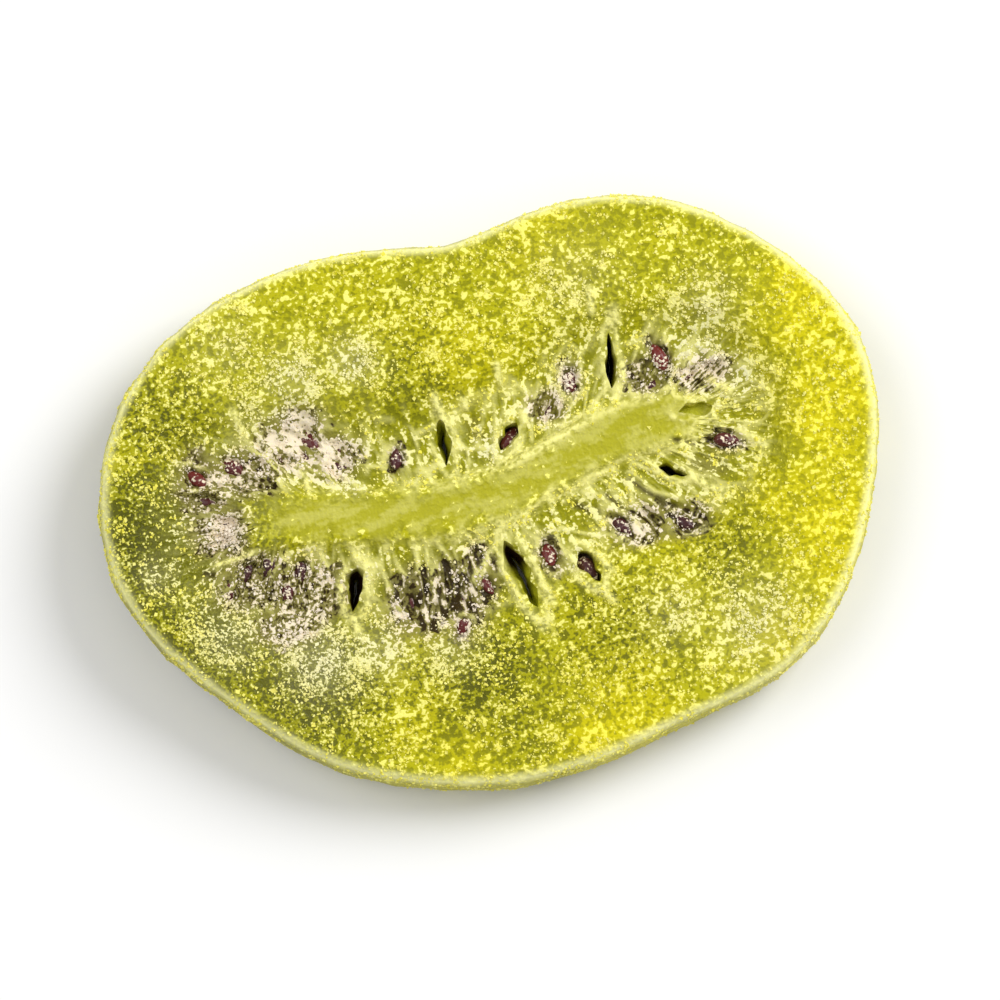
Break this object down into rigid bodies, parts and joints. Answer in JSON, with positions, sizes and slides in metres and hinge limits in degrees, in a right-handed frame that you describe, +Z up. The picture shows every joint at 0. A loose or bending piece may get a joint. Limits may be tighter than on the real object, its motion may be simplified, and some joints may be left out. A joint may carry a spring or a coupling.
{
  "type": "dried kiwi slice",
  "caption": "Soft dried, sugar-dusted kiwi slice with split seed chambers, small seeds fused to both cut faces and gently curled ends.",
  "frame": {"origin": "on the surface that the slice rests on, under the middle of its box", "axes": "+X along the slice's long axis and the fruit's core, +Y across the slice towards its waist, +Z up away from the resting surface"},
  "size_m": [0.0518, 0.0374, 0.0065],
  "materials": {
    "flesh": "moist, slightly translucent, dusted with sugar",
    "seed": "satin, dark maroon to violet",
    "sugar": "fine dry crystals"
  },
  "bodies": {
    "root": {"kiwi_slice": "flesh"}
  },
  "joints": []
}
